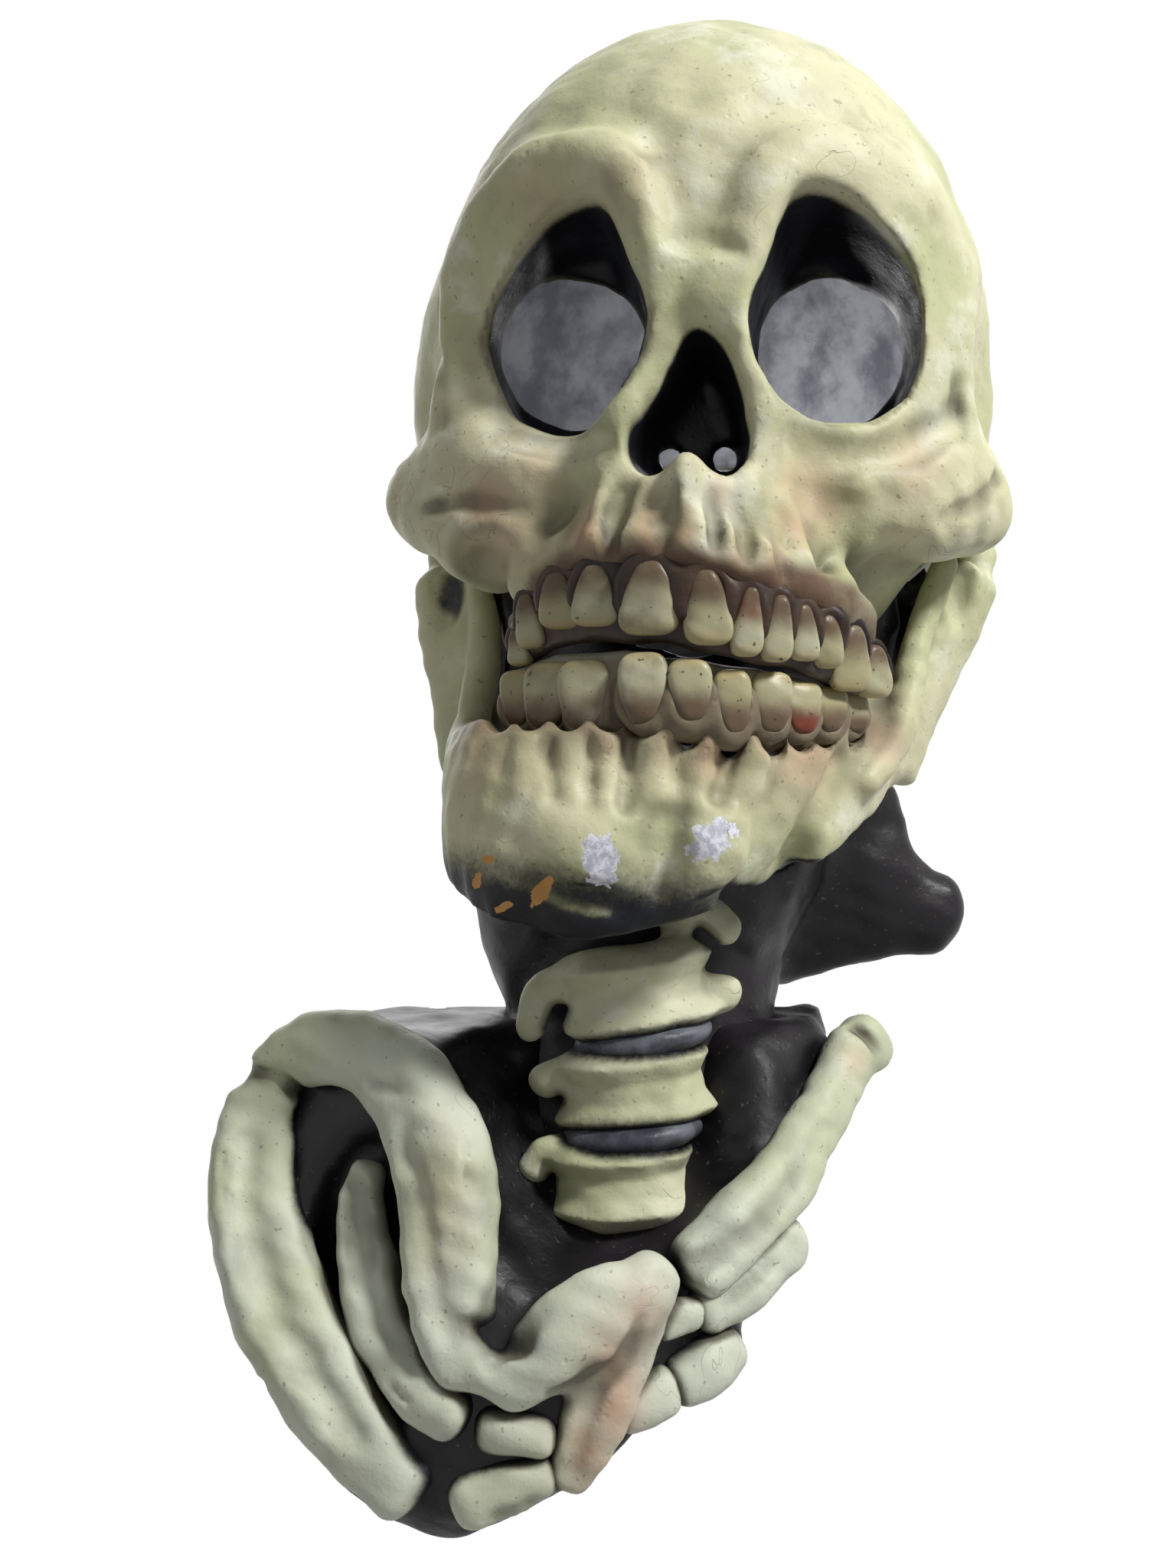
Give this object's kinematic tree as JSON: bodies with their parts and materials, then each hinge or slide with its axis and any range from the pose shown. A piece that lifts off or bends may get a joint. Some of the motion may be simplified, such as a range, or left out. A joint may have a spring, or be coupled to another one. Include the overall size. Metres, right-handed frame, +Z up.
{
  "type": "skull wall mask",
  "caption": "Hollow full-head skull mask with a loose jaw, a black neck sleeve with vertebrae and a chest bib with collar bones and ribs, hung on a wall.",
  "frame": {"origin": "middle of the lower land of the hanger pad's wall face, behind the cranium", "axes": "+Z up, -Y out of the wall towards the room, +X to the viewer's right"},
  "size_m": [0.2825, 0.2565, 0.516],
  "materials": {
    "bone_latex": "satin, airbrushed and washed",
    "tooth_latex": "semi-gloss, stained",
    "black_latex": "satin",
    "grey_latex": "matte",
    "hanger_steel": "zinc plated"
  },
  "bodies": {
    "mask": {"forehead_right": "bone_latex", "forehead_left": "bone_latex", "cheek_right": "bone_latex", "cheek_left": "bone_latex", "rear_shell": "bone_latex", "hanger_pad": "bone_latex", "vertebra_top": "bone_latex", "vertebra_middle": "bone_latex", "vertebra_low": "bone_latex", "sternum": "bone_latex", "manubrium_wing": "bone_latex", "collar_bone_left": "bone_latex", "outer_rib_left": "bone_latex", "outer_cartilage_left": "bone_latex", "inner_rib_left": "bone_latex", "inner_cartilage_left": "bone_latex", "collar_bone_right": "bone_latex", "first_rib_right": "bone_latex", "first_cartilage_right": "bone_latex", "second_rib_right": "bone_latex", "second_cartilage_right": "bone_latex", "upper_tooth_1": "tooth_latex", "upper_tooth_2": "tooth_latex", "upper_tooth_3": "tooth_latex", "upper_tooth_4": "tooth_latex", "upper_tooth_5": "tooth_latex", "upper_tooth_6": "tooth_latex", "upper_tooth_7": "tooth_latex", "upper_tooth_8": "tooth_latex", "upper_tooth_9": "tooth_latex", "upper_tooth_10": "tooth_latex", "upper_tooth_11": "tooth_latex", "upper_tooth_12": "tooth_latex", "neck_sleeve": "black_latex", "sleeve_base": "black_latex", "neck_lobe": "black_latex", "chest_bib": "black_latex", "upper_tooth_bed": "grey_latex", "disc_upper": "grey_latex", "disc_lower": "grey_latex", "hanger_strap": "hanger_steel", "hanger_screw_1": "hanger_steel", "hanger_screw_2": "hanger_steel"},
    "jaw": {"jaw": "bone_latex", "lower_tooth_bed": "grey_latex", "lower_tooth_1": "tooth_latex", "lower_tooth_2": "tooth_latex", "lower_tooth_3": "tooth_latex", "lower_tooth_4": "tooth_latex", "lower_tooth_5": "tooth_latex", "lower_tooth_6": "tooth_latex", "lower_tooth_7": "tooth_latex", "lower_tooth_8": "tooth_latex", "lower_tooth_9": "tooth_latex", "lower_tooth_10": "tooth_latex"},
    "hanger_ring": {"hanger_ring": "hanger_steel"}
  },
  "joints": [
    {"name": "jaw_hinge", "type": "hinge", "parent": "mask", "child": "jaw", "pos_m": [-0.00202, -0.13575, -0.06104], "axis": [1, 0, 0], "range_deg": [0, 8], "stiffness_Nm_per_rad": 1.2, "springref_deg": -17.19},
    {"name": "ring_pivot", "type": "hinge", "parent": "mask", "child": "hanger_ring", "pos_m": [0, -0.0049, 0.028], "axis": [1, 0, 0], "range_deg": [0, 160]}
  ]
}
